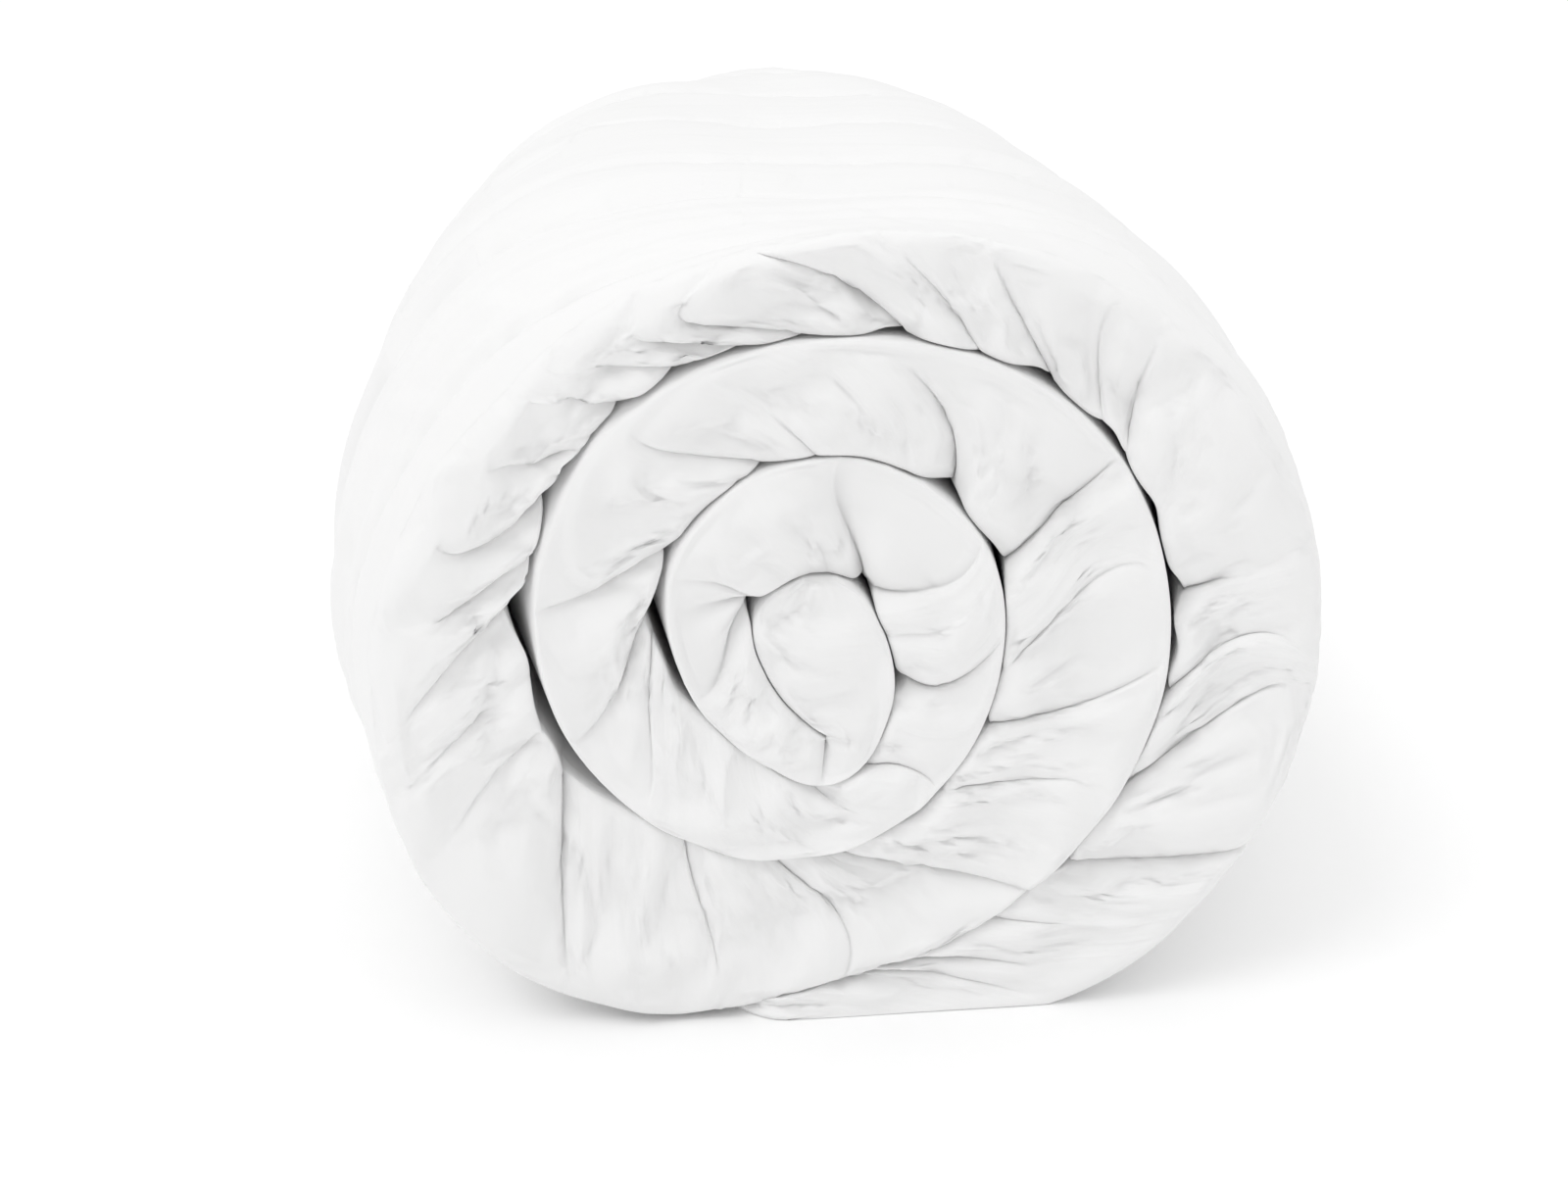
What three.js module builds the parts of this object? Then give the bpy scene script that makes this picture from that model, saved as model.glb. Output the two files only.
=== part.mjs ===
// Rolled duvet: one filled, quilted sheet of white cotton, wound about three and a half turns
// into a roll that lies on its side, with its free end flat on the floor under it.
// Millimetres, +Z up. The roll's axis runs along Y, its near end faces -Y, and it rests on Z = 0.
import * as THREE from 'three'

const { lerp, clamp, smoothstep } = THREE.MathUtils
const FULL_TURN = 2 * Math.PI
const rowsPerTurn = 8 // in the tables that go round the winding

// Driving sizes
const rollLength = 680 // the duvet's width, folded once, lies along the roll
const centreX = -4.15 // axis of the winding, placed so that the roll's box is centred on X = 0
const centreZ = 140.2
const layerGap = 1.5 // between the faces of neighbouring turns
const ribSpacing = 13.2 // step between sections, along the outer face

// The core pad is the duvet's inner end. It hangs straight down and turns back at its foot.
const padRibs = 8
const padRight = { top: 0.01, foot: 0.44 } // turns, from the pad's top to its foot
const padLeft = { top: -0.05, foot: -0.485 }
const footRibs = 3
const windingStart = 0.54 // turn at which the layers become a plain spiral

// The free end of the duvet, flat on the floor
const tailStart = 3.42
const tailEnd = 3.6
const tailThickness = { start: 46, end: 7 }
const tailCorner = { start: 3.52, inset: 58 } // its corners are drawn in

// Rounding of a layer at the roll's ends: reach across the layer (0 to 1) and depth along the roll
const innerRound = { reach: 0.46, depth: 25 } // the soft side that faces the core
const crispRound = { reach: 0.1, depth: 5 } // the taut side, where the next turn lies over it
const rimRound = { reach: 0.42, depth: 24 } // the taut side of the outermost turn
const roundSteps = 3
const rimTurns = { from: 2.36, full: 2.62, fading: 3.32, end: 3.42 } // where it is the roll's rim

// Drawn-in ends: the roll is widest at mid-length. Fullness goes from 0 at an end to 1 there.
const fullnessRows = [
  { fromEnd: 0, fullness: 0 },
  { fromEnd: 25, fullness: 0.32 },
  { fromEnd: 70, fullness: 0.68 },
  { fromEnd: 140, fullness: 0.92 },
  { fromEnd: 340, fullness: 1 }
]

// Share by which the roll is wider at mid-length than at its ends, clockwise from the top in
// eighths of a turn. It sags to both sides, most to the left.
const swellRows = [
  { turn: 0, swell: 0.005 },
  { turn: 0.125, swell: 0.118 },
  { turn: 0.25, swell: 0.165 },
  { turn: 0.375, swell: 0.11 },
  { turn: 0.5, swell: 0 },
  { turn: 0.625, swell: 0.065 },
  { turn: 0.75, swell: 0.258 },
  { turn: 0.875, swell: 0.298 }
]

// Sewn channels run round the roll. Each stitch line is a trough between two puffs.
const channelLines = [52, 196, 340, 484, 628] // from the near end
const channelDepth = 4
const channelWidth = 16

// Radius of the outer face, a row for each eighth of a turn, clockwise from the top as seen
// from the near end. The rows before turn 0.5 are the outline of the core pad.
const winding = [
  { turn: -0.625, radius: 24 },
  { turn: -0.5, radius: 24 },
  { turn: -0.375, radius: 20.2 },
  { turn: -0.25, radius: 23 },
  { turn: -0.125, radius: 34.6 },
  { turn: 0, radius: 35.5 },
  { turn: 0.125, radius: 24.2 },
  { turn: 0.25, radius: 21.8 },
  { turn: 0.375, radius: 27.6 },
  { turn: 0.5, radius: 42.7 },
  { turn: 0.625, radius: 42.3 },
  { turn: 0.75, radius: 52.5 },
  { turn: 0.875, radius: 71.1 },
  { turn: 1, radius: 78.8 },
  { turn: 1.125, radius: 71.6 },
  { turn: 1.25, radius: 60 },
  { turn: 1.375, radius: 59.6 },
  { turn: 1.5, radius: 70.2 },
  { turn: 1.625, radius: 84.3 },
  { turn: 1.75, radius: 100.6 },
  { turn: 1.875, radius: 114.7 },
  { turn: 2, radius: 119 },
  { turn: 2.125, radius: 124.8 },
  { turn: 2.25, radius: 120.5 },
  { turn: 2.375, radius: 115.9 },
  { turn: 2.5, radius: 126 },
  { turn: 2.625, radius: 166 },
  { turn: 2.75, radius: 156 },
  { turn: 2.875, radius: 142.9 },
  { turn: 3, radius: 151.4 },
  { turn: 3.125, radius: 165.7 },
  { turn: 3.25, radius: 175.1 },
  { turn: 3.375, radius: 170 },
  { turn: 3.5, radius: 150 },
  { turn: 3.625, radius: 190 },
  { turn: 3.75, radius: 190 }
]

// Folds pinched into the roll's ends. Each starts at the layer's inner face at a turn, leans by
// so many turns on its way across, reaches so far across the layer, and is so deep.
const folds = [
  { turn: 0.519, lean: 0, reach: 0.95, depth: 8 },
  { turn: 0.862, lean: -0.14, reach: 0.95, depth: 6 },
  { turn: 0.865, lean: -0.055, reach: 0.9, depth: 9 },
  { turn: 1.051, lean: -0.042, reach: 1, depth: 14 },
  { turn: 1.075, lean: 0.055, reach: 0.95, depth: 8 },
  { turn: 1.295, lean: -0.055, reach: 0.95, depth: 9 },
  { turn: 1.45, lean: -0.07, reach: 0.95, depth: 7 },
  { turn: 1.52, lean: -0.09, reach: 0.5, depth: 5 },
  { turn: 1.77, lean: -0.14, reach: 0.85, depth: 8 },
  { turn: 1.805, lean: -0.105, reach: 0.95, depth: 12 },
  { turn: 1.86, lean: -0.075, reach: 0.95, depth: 10 },
  { turn: 1.96, lean: -0.08, reach: 0.85, depth: 9 },
  { turn: 2.093, lean: -0.07, reach: 0.8, depth: 13 },
  { turn: 2.163, lean: -0.015, reach: 0.85, depth: 14 },
  { turn: 2.235, lean: -0.04, reach: 0.9, depth: 5 },
  { turn: 2.32, lean: -0.085, reach: 0.95, depth: 9 },
  { turn: 2.375, lean: -0.06, reach: 0.8, depth: 7 },
  { turn: 2.49, lean: -0.1, reach: 1, depth: 14 },
  { turn: 2.535, lean: -0.045, reach: 0.92, depth: 8 },
  { turn: 2.685, lean: -0.085, reach: 0.9, depth: 14 },
  { turn: 2.788, lean: -0.065, reach: 0.85, depth: 13 },
  { turn: 2.843, lean: -0.045, reach: 0.8, depth: 13 },
  { turn: 2.985, lean: -0.06, reach: 0.75, depth: 8 },
  { turn: 3.033, lean: -0.06, reach: 0.97, depth: 14 },
  { turn: 3.098, lean: -0.047, reach: 0.85, depth: 8 },
  { turn: 3.14, lean: -0.025, reach: 0.9, depth: 8 },
  { turn: 3.262, lean: -0.035, reach: 0.8, depth: 8 },
  { turn: 3.322, lean: -0.085, reach: 0.75, depth: 13 },
  { turn: 3.366, lean: -0.045, reach: 1, depth: 16 },
  { turn: 3.462, lean: -0.09, reach: 0.5, depth: 6 }
]
const foldWidth = 9
const foldMiddle = 0.4 // across the layer, where a section is placed on each fold
const farFoldShift = 0.055 // turns by which the far end's folds differ from the near end's
const pinch = 0.3 // how far a fold draws the inner face out, as a share of its depth

// Straight between the rows of its table
function fullness(fromEnd) {
  const next = Math.max(1, fullnessRows.findIndex((row) => row.fromEnd >= fromEnd))
  const [low, high] = [fullnessRows[next - 1], fullnessRows[next]]
  return lerp(low.fullness, high.fullness, (fromEnd - low.fromEnd) / (high.fromEnd - low.fromEnd))
}

// Smooth curve through four evenly spaced values, from the second at 0 to the third at 1
function smoothCurve([a, b, c, d], t) {
  return b + 0.5 * t * (c - a + t * (2 * a - 5 * b + 4 * c - d + t * (3 * (b - c) + d - a)))
}

function windingRadius(turn) {
  const place = (turn - winding[0].turn) * rowsPerTurn
  const row = clamp(Math.floor(place), 1, winding.length - 3)
  return smoothCurve([-1, 0, 1, 2].map((offset) => winding[row + offset].radius), place - row)
}

function swellTowards(turn) {
  const place = (turn - Math.floor(turn)) * rowsPerTurn
  const row = Math.floor(place)
  const around = [-1, 0, 1, 2].map((offset) => (row + offset + rowsPerTurn) % rowsPerTurn)
  return smoothCurve(around.map((index) => swellRows[index].swell), place - row)
}

// How far a turn shows as the roll's outside, from 0 to 1
function outermost(turn) {
  const starts = smoothstep(turn, rimTurns.from, rimTurns.full)
  return starts * (1 - smoothstep(turn, rimTurns.fading, rimTurns.end))
}

// The outer face never goes below the floor
function outerRadius(turn) {
  const drop = -Math.cos(turn * FULL_TURN)
  const floorRadius = drop > 0 ? centreZ / drop : Infinity
  return Math.min(windingRadius(turn), floorRadius)
}

function innerRadius(turn) {
  const overLastTurn = outerRadius(turn - 1) + layerGap
  if (turn < tailStart) return overLastTurn
  const along = (turn - tailStart) / (tailEnd - tailStart)
  const thickness = lerp(tailThickness.start, tailThickness.end, along)
  return Math.max(overLastTurn, outerRadius(turn) - thickness)
}

function pointOnTurn(turn, radius) {
  const angle = turn * FULL_TURN
  return new THREE.Vector2(centreX + radius * Math.sin(angle), centreZ + radius * Math.cos(angle))
}

// A rib is one section of the duvet: where it starts on the inner face and ends on the outer face
function makeRib(turn, innerTurn, radius) {
  return {
    turn,
    inner: pointOnTurn(innerTurn, radius),
    outer: pointOnTurn(turn, outerRadius(turn))
  }
}

function padAndFootRibs() {
  const ribs = []
  for (let i = 0; i < padRibs; i++) {
    const down = i / (padRibs - 1)
    const innerTurn = lerp(padLeft.top, padLeft.foot, down)
    ribs.push(makeRib(lerp(padRight.top, padRight.foot, down), innerTurn, windingRadius(innerTurn)))
  }
  const pivotTurn = 1 + padLeft.foot
  for (let i = 1; i <= footRibs; i++) {
    const round = i / (footRibs + 1)
    const radius = windingRadius(padLeft.foot) + layerGap * round
    ribs.push(makeRib(lerp(padRight.foot, windingStart, round), pivotTurn, radius))
  }
  return ribs
}

// Sections at even steps along the outer face, each moved onto a fold where one is near
function spiralRibs() {
  const ribs = []
  let turn = windingStart
  while (turn < tailEnd) {
    const step = ribSpacing / (FULL_TURN * outerRadius(turn))
    const near = folds.map((fold) => fold.turn + fold.lean * foldMiddle)
      .find((place) => Math.abs(place - turn) < step / 2)
    const ribTurn = near ?? turn
    ribs.push(makeRib(ribTurn, ribTurn, innerRadius(ribTurn)))
    turn += step
  }
  ribs.push(makeRib(tailEnd, tailEnd, innerRadius(tailEnd)))
  return ribs
}

// How far the folds press into the roll's end at a place across a layer
function foldDepth(turn, across, shift) {
  let depth = 0
  for (const fold of folds) {
    const place = fold.turn + fold.lean * across + shift
    const arc = Math.abs(turn - place) * FULL_TURN * outerRadius(turn)
    const fade = clamp(1.4 * (1 - across / fold.reach), 0, 1)
    depth = Math.max(depth, fold.depth * fade * Math.exp(-((arc / foldWidth) ** 2)))
  }
  return depth
}

// The rounded end of a layer, from its inner face to its outer face, as places across the layer
// and depths from the roll's end
function endProfile(turn, shift) {
  const softness = outermost(turn)
  const outerRound = {
    reach: lerp(crispRound.reach, rimRound.reach, softness),
    depth: lerp(crispRound.depth, rimRound.depth, softness)
  }
  const inset = tailCorner.inset * smoothstep(turn, tailCorner.start, tailEnd)
  const profile = []
  for (let i = 0; i <= roundSteps; i++) {
    const angle = (Math.PI / 2) * (i / roundSteps)
    const across = innerRound.reach * (1 - Math.cos(angle))
    profile.push({ across, depth: innerRound.depth * (1 - Math.sin(angle)) })
  }
  for (let i = roundSteps; i >= 0; i--) {
    const angle = (Math.PI / 2) * (i / roundSteps)
    const across = 1 - outerRound.reach * (1 - Math.cos(angle))
    profile.push({ across, depth: outerRound.depth * (1 - Math.sin(angle)) })
  }
  return profile.map(({ across, depth }) => {
    const onFace = 1 - depth / (2 * innerRound.depth)
    return { across, depth: depth + inset + onFace * foldDepth(turn, across, shift) }
  })
}

// Depth of the sewn troughs in the outermost layer
function channelTrough(turn, along) {
  const troughs = channelLines.map((line) => Math.exp(-(((along - line) / channelWidth) ** 2)))
  return outermost(turn) * channelDepth * Math.max(...troughs)
}

// Places along the roll, from its near end, where a section has points on its outer face
function outerStops() {
  const stops = []
  channelLines.forEach((line, i) => {
    if (i > 0) stops.push((channelLines[i - 1] + line) / 2)
    stops.push(line)
  })
  return stops
}

function innerStops() {
  const near = fullnessRows.slice(2).map((row) => row.fromEnd)
  const far = near.slice(0, -1).reverse().map((fromEnd) => rollLength - fromEnd)
  return [...near, ...far]
}

// Fills the roll out between its drawn-in ends. Below its axis it only widens, on the floor.
function filledOut(point, along) {
  const side = point.x - centreX
  const rise = point.y - centreZ
  const fromEnd = Math.min(along, rollLength - along)
  const swell = swellTowards(Math.atan2(side, rise) / FULL_TURN) * fullness(fromEnd)
  const z = centreZ + rise * (rise > 0 ? 1 + swell : 1)
  return new THREE.Vector3(centreX + side * (1 + swell), along - rollLength / 2, z)
}

// One closed section: the near end outwards, the outer face back, the far end inwards, and the
// inner face home
function sectionLoop(rib) {
  const thickness = rib.inner.distanceTo(rib.outer)
  const at = (across, along) => {
    const trough = channelTrough(rib.turn, along) * across
    const point = rib.inner.clone().lerp(rib.outer, across - trough / thickness)
    return filledOut(point, along)
  }
  const drawn = (across, shift) => {
    const pull = pinch * foldDepth(rib.turn, 0, shift) * (1 - across) ** 3
    return across + Math.min(pull / thickness, 0.3)
  }
  const near = endProfile(rib.turn, 0)
  const far = endProfile(rib.turn, farFoldShift).reverse()
  const [nearStop, farStop] = [near[0].depth, rollLength - far.at(-1).depth]
  const cornerStop = near.at(-1).depth
  const points = near.map(({ across, depth }) => at(drawn(across, 0), depth))
  for (const stop of outerStops()) {
    points.push(at(1, clamp(stop, cornerStop + 4, rollLength - cornerStop - 4)))
  }
  for (const { across, depth } of far) {
    points.push(at(drawn(across, farFoldShift), rollLength - depth))
  }
  for (const stop of innerStops().reverse()) {
    points.push(at(0, clamp(stop, nearStop + 4, farStop - 4)))
  }
  return points
}

// A section seen flat: distance across the layer from its inner face, and place along the roll
function endOutline(section) {
  const inner = section.at(-1)
  const across = (point) => Math.hypot(point.x - inner.x, point.z - inner.z)
  return section.map((point) => new THREE.Vector2(across(point), point.y))
}

// Skins the sections one after the other and closes both ends of the sheet
function loftGeometry(sections) {
  const size = sections[0].length
  const last = (sections.length - 1) * size
  const positions = sections.flat().flatMap((point) => point.toArray())
  const triangles = []
  for (let i = 0; i < last; i += size) {
    for (let j = 0; j < size; j++) {
      const k = (j + 1) % size
      triangles.push(i + j, i + size + j, i + k)
      triangles.push(i + k, i + size + j, i + size + k)
    }
  }
  for (const first of [0, last]) {
    const outline = endOutline(sections[first / size])
    for (const corners of THREE.ShapeUtils.triangulateShape(outline, [])) {
      if (first === last) corners.reverse()
      triangles.push(...corners.map((corner) => first + corner))
    }
  }
  const geometry = new THREE.BufferGeometry()
  geometry.setAttribute('position', new THREE.Float32BufferAttribute(positions, 3))
  geometry.setIndex(triangles)
  geometry.computeVertexNormals()
  return geometry
}

const whiteCotton = new THREE.MeshStandardMaterial({ color: 0xf3f1ef, roughness: 0.85, metalness: 0 })
const ribs = [...padAndFootRibs(), ...spiralRibs()]
const duvet = new THREE.Mesh(loftGeometry(ribs.map(sectionLoop)), whiteCotton)
duvet.name = 'duvet'

const group = new THREE.Group()
group.add(duvet)

export default group
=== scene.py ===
"""Rolled duvet: the cloth of one filled, quilted cotton sheet, wound into a roll on its side.

A place on the cloth has three coordinates: the turn of the winding, clockwise from the top as seen
from the near end; how far across the layer it is, 0 at the face towards the core and 1 at the face
away from it; and how far along the roll it is from the near end. Sizes are millimetres.
"""

import math
from collections import namedtuple

import bpy
import numpy as np
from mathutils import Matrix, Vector


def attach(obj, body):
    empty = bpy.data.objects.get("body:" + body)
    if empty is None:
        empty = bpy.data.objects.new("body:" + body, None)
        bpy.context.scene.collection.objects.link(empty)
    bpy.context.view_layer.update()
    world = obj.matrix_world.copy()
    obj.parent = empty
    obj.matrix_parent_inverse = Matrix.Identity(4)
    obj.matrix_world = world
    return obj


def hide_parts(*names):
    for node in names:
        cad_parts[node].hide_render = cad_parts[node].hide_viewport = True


MM = 0.001
FULL_TURN = 2 * math.pi

# Sizes shared with the solid
ROLL_LENGTH = 680.0
CENTRE_X = -4.15
CENTRE_Z = 140.2
END_GAP = 0.4
PAD_TOP = 0.01
PAD_FOOT = 0.44
PAD_LEFT_TOP = -0.05
PAD_LEFT_FOOT = -0.485
WINDING_START = 0.54
TAIL_START = 3.42
TAIL_END = 3.6
TAIL_THICKNESS = (46.0, 7.0)
TAIL_CORNER_START = 3.52
TAIL_CORNER_INSET = 58.0
FAR_FOLD_SHIFT = 0.055
CHANNEL_LINES = (54.0, 196.0, 340.0, 484.0, 628.0)

# Thickness that a share across the layer stands for: on the flat cloth, at a pocket and at a dent.
# The most of it that a pocket takes, as a share.
LAYER_THICKNESS = 46.0
POCKET_THICKNESS = 45.0
DENT_THICKNESS = 44.0
MOST_OPENING = 0.35

# Rounding of a layer at the roll's ends: reach across the layer and depth along the roll. The folds
# and creases fade as the end rounds off, and would be gone at the fade depth.
Rounding = namedtuple("Rounding", "reach depth")
INNER_ROUND = Rounding(0.17, 4.2)
CRISP_ROUND = Rounding(0.03, 1.5)
RIM_ROUND = Rounding(0.14, 9.5)
ROUNDING_FADE = 50

# Turns over which a layer becomes the roll's rim, and stops being it
RIM_STARTS = (2.36, 2.62)
RIM_ENDS = (3.32, 3.42)

# Radius of the outer face for each eighth of a turn. Before turn 0.5 it outlines the core pad.
WINDING_FIRST = -0.625
WINDING_RADII = np.array([
    24, 24, 20.2, 23, 34.6,
    35.5, 24.2, 21.8, 27.6, 42.7, 42.3, 52.5, 71.1,
    78.8, 71.6, 60, 59.6, 70.2, 84.3, 100.6, 114.7,
    119, 124.8, 120.5, 115.9, 126, 166, 156, 142.9,
    151.4, 165.7, 175.1, 170, 150, 190, 190,
])

# Share by which the roll is wider at mid-length, for each eighth of a turn from the top
SWELL = np.array([0.005, 0.118, 0.165, 0.11, 0, 0.065, 0.258, 0.298])
FULLNESS_FROM_END = (0, 25, 70, 140, 340)
FULLNESS = (0, 0.32, 0.68, 0.92, 1)

# Folds across the roll's ends. Each starts at the layer's inner face at a turn and leans and bends
# by so many turns on its way across. It shows between two places across the layer. Its lap is on
# its clockwise side where that is 1, and on the other side where it is -1. The notch is how far it
# draws the layer's inner edge away from the core.
Fold = namedtuple("Fold", "turn lean bend start end depth lap notch")
FOLDS = [
    Fold(0.515, 0, 0, 0.1, 1.0, 9, 1, 3),
    Fold(0.860, -0.132, -0.045, 0.0, 0.95, 11, 1, 2),
    Fold(0.872, -0.062, -0.007, 0.0, 0.9, 10, -1, 5),
    Fold(0.886, -0.045, 0, 0.05, 0.95, 5, 1, 1),
    Fold(1.054, -0.047, -0.02, 0.0, 1.05, 14, 1, 4),
    Fold(1.076, 0.054, 0.04, 0.0, 1.0, 9, 1, 3),
    Fold(1.282, -0.066, 0.028, 0.0, 0.98, 9, 1, 5),
    Fold(1.452, -0.062, -0.018, 0.0, 0.95, 8, 1, 4),
    Fold(1.530, -0.105, 0, 0.0, 0.52, 5, 1, 1),
    Fold(1.786, -0.135, -0.034, 0.0, 0.9, 6, -1, 0),
    Fold(1.808, -0.098, -0.024, 0.0, 0.97, 13, 1, 4),
    Fold(1.862, -0.071, -0.014, 0.0, 1.0, 11, 1, 5),
    Fold(1.955, -0.056, -0.019, 0.0, 0.88, 10, 1, 4),
    Fold(1.990, -0.054, 0, 0.05, 0.5, 5, 1, 1),
    Fold(2.092, -0.078, 0.01, 0.0, 0.82, 13, 1, 4),
    Fold(2.163, -0.018, 0, 0.0, 1.0, 15, 1, 5),
    Fold(2.254, -0.051, -0.029, 0.1, 0.96, 5, 1, 1),
    Fold(2.314, -0.066, 0, 0.0, 0.98, 10, 1, 6),
    Fold(2.389, -0.068, -0.02, 0.1, 0.85, 6, 1, 2),
    Fold(2.492, -0.1, -0.014, 0.0, 1.05, 15, -1, 4),
    Fold(2.547, -0.05, -0.024, 0.0, 0.96, 8, 1, 4),
    Fold(2.612, -0.06, -0.015, 0.0, 0.75, 7, 1, 2),
    Fold(2.694, -0.088, -0.01, 0.0, 0.92, 14, 1, 5),
    Fold(2.722, -0.052, 0.004, 0.08, 0.75, 7, 1, 2),
    Fold(2.752, -0.045, 0, 0.35, 0.9, 5, 1, 0),
    Fold(2.790, -0.062, 0.003, 0.0, 0.88, 13, 1, 5),
    Fold(2.820, -0.05, -0.01, 0.05, 0.7, 7, 1, 2),
    Fold(2.848, -0.033, -0.021, 0.0, 0.85, 13, 1, 4),
    Fold(2.876, -0.03, -0.01, 0.1, 0.8, 7, 1, 1),
    Fold(2.902, -0.028, 0, 0.0, 0.6, 6, 1, 2),
    Fold(2.931, -0.043, 0, 0.0, 0.7, 6, 1, 2),
    Fold(2.962, -0.038, -0.015, 0.0, 0.75, 8, 1, 2),
    Fold(2.991, -0.033, -0.031, 0.0, 0.8, 8, 1, 3),
    Fold(3.034, -0.061, 0.004, 0.0, 1.05, 14, 1, 4),
    Fold(3.066, -0.05, 0, 0.05, 0.8, 7, 1, 2),
    Fold(3.101, -0.047, -0.006, 0.0, 0.88, 9, 1, 4),
    Fold(3.129, -0.03, -0.007, 0.08, 0.85, 6, 1, 2),
    Fold(3.147, -0.028, -0.005, 0.1, 0.92, 6, 1, 2),
    Fold(3.221, -0.012, 0, 0.0, 0.4, 12, 1, 5),
    Fold(3.267, -0.015, -0.019, 0.0, 0.82, 7, 1, 4),
    Fold(3.322, -0.06, -0.022, 0.0, 0.8, 14, 1, 4),
    Fold(3.368, -0.045, 0, 0.0, 1.1, 18, -1, 5),
    Fold(3.418, -0.072, 0, 0.0, 0.4, 5, 1, 1),
    Fold(3.470, -0.1, 0, 0.0, 0.6, 8, 1, 3),
    Fold(3.490, -0.08, 0, 0.0, 0.9, 6, 1, 2),
]

# Turns over which the folds' lean, and their shift towards the far end, come in and go out, and how
# far from the ends the shift is complete
LEAN_STARTS = (WINDING_START, WINDING_START + 0.12)
LEAN_ENDS = (3.5, TAIL_END)
SHIFT_STARTS = (WINDING_START, 0.8)
SHIFT_ENDS = (3.38, TAIL_END)
SHIFT_FROM_END = 60

# Section of a fold, in mm from its line: under its lap and over it. Each is a sharp part and a soft
# part, with its share and reach. Under the lap the soft part has the first reach at the layer's
# outer face, and up to the second more at the inner face, all of it in a fold of the full depth.
# The lap itself lies over the fold by a share of its depth, at a place and over a width.
FoldSide = namedtuple("FoldSide", "sharp_share sharp_reach soft_share")
UNDER_LAP = FoldSide(0.62, 2.2, 0.38)
OVER_LAP = FoldSide(0.8, 1.5, 0.2)
HOLLOW_REACH = (4, 9)
HOLLOW_FULL_DEPTH = 12
OVER_LAP_REACH = 6
LAP_SHARE = 0.2
LAP_PLACE = 1.8
LAP_WIDTH = 1.6

# Pockets where a layer stands off the turn before it: turn, reach along the layer and opening
Pocket = namedtuple("Pocket", "turn reach opening")
POCKETS = [
    Pocket(0.868, 5, 3),
    Pocket(1.064, 6, 4),
    Pocket(1.290, 5, 2.5),
    Pocket(1.800, 20, 5.5),
    Pocket(1.740, 14, 3),
    Pocket(2.088, 9, 3),
    Pocket(2.150, 12, 1.5),
    Pocket(2.420, 16, 2),
    Pocket(2.500, 9, 3),
    Pocket(2.690, 26, 6),
    Pocket(2.735, 18, 4),
    Pocket(2.785, 15, 5.5),
    Pocket(2.862, 8, 3.5),
    Pocket(2.940, 20, 1.5),
    Pocket(3.026, 7, 2),
    Pocket(3.092, 8, 2.5),
    Pocket(3.136, 8, 2.5),
    Pocket(3.174, 9, 2),
    Pocket(3.216, 8, 3),
    Pocket(3.245, 9, 2.5),
    Pocket(3.372, 9, 4),
]

# How deep the pockets reach along the roll, how much of a fold's notch opens, and how far along the
# layer it reaches
POCKET_DEPTH = 26.0
NOTCH_SHARE = 0.55
NOTCH_REACH = 4.5

# Dents on the roll's near end
Dent = namedtuple("Dent", "turn across width depth")
DENTS = [
    Dent(2.151, 0.9, 6.5, 3.5),
    Dent(2.060, 0.5, 5, 2.5),
    Dent(2.066, 0.86, 8, 2),
    Dent(1.962, 0.12, 6, 2.5),
    Dent(3.105, 0.62, 8, 2),
    Dent(2.870, 0.62, 7, 2),
    Dent(2.815, 0.9, 8, 2),
]

# Seams and long creases round the roll near its near end: the turns where each starts and ends,
# how far from the near end it is there, and its depth
ShortLine = namedtuple("ShortLine", "start end from_start to_end depth")
SHORT_LINES = [
    ShortLine(2.55, 3.02, 60, 21, 4.2),
    ShortLine(2.62, 3.06, 46, 24, 1.2),
    ShortLine(2.68, 3.05, 124, 101, 3.8),
    ShortLine(3.00, 3.24, 102, 44, 3.0),
    ShortLine(2.72, 3.02, 112, 88, 1.2),
    ShortLine(2.78, 3.20, 84, 62, 1.0),
    ShortLine(2.60, 2.98, 78, 40, 1.0),
]

# Steps between the sections, in a fold and away from the folds
FINE_STEP = 0.8
COARSE_STEP = 2.6
STEP_GROWTH = 0.3

# Places across the layer where each section has points on the roll's ends
ACROSS_STOPS = np.array([
    0, 0.006, 0.023, 0.05, 0.088, 0.135, 0.19, 0.25, 0.318, 0.388, 0.455, 0.52, 0.58, 0.64, 0.7,
    0.755, 0.805, 0.85, 0.885, 0.915, 0.94, 0.96, 0.975, 0.987, 0.996, 1,
])

# Places along the roll, in mm from its near end: where the inner face has points, around each sewn
# line of the outer face, and close together near the near end. A turn that is covered has few.
# The limits are where the close ones end, how far all of them stay from the two ends, how far from
# both ends the outer face is measured, and the least spacing.
INNER_DEPTHS = np.array([9, 20, 38, 70, 150, 340, 530, 610, 642, 660, 671])
LINE_STOPS = (-52, -34, -20, -10, -4, 0, 4, 10, 20, 34, 52)
NEAR_STOPS = range(26, 128, 3)
NEAR_STOPS_END = 130
STOPS_FROM_END = (25, 28)
SIDE_MARGIN = 24
LEAST_SPACING = 1.5
HIDDEN_OUTER_POINTS = 7

# Small random creases: how many all over the ends, and how many more on the rim from a turn on
SMALL_CREASES = 200
RIM_CREASES = 140
RIM_CREASES_FROM = 2.45

# Ranges they are drawn from: start and span across the layer as shares, the rest in mm
CREASE_START = (-0.1, 0.5)
CREASE_SPAN = (0.25, 0.6)
CREASE_LEAN = (-16, 10)
CREASE_WIDTH = (2.2, 5.0)
CREASE_DEPTH = (0.7, 2.8)
CREASE_REACH = 40

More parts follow.
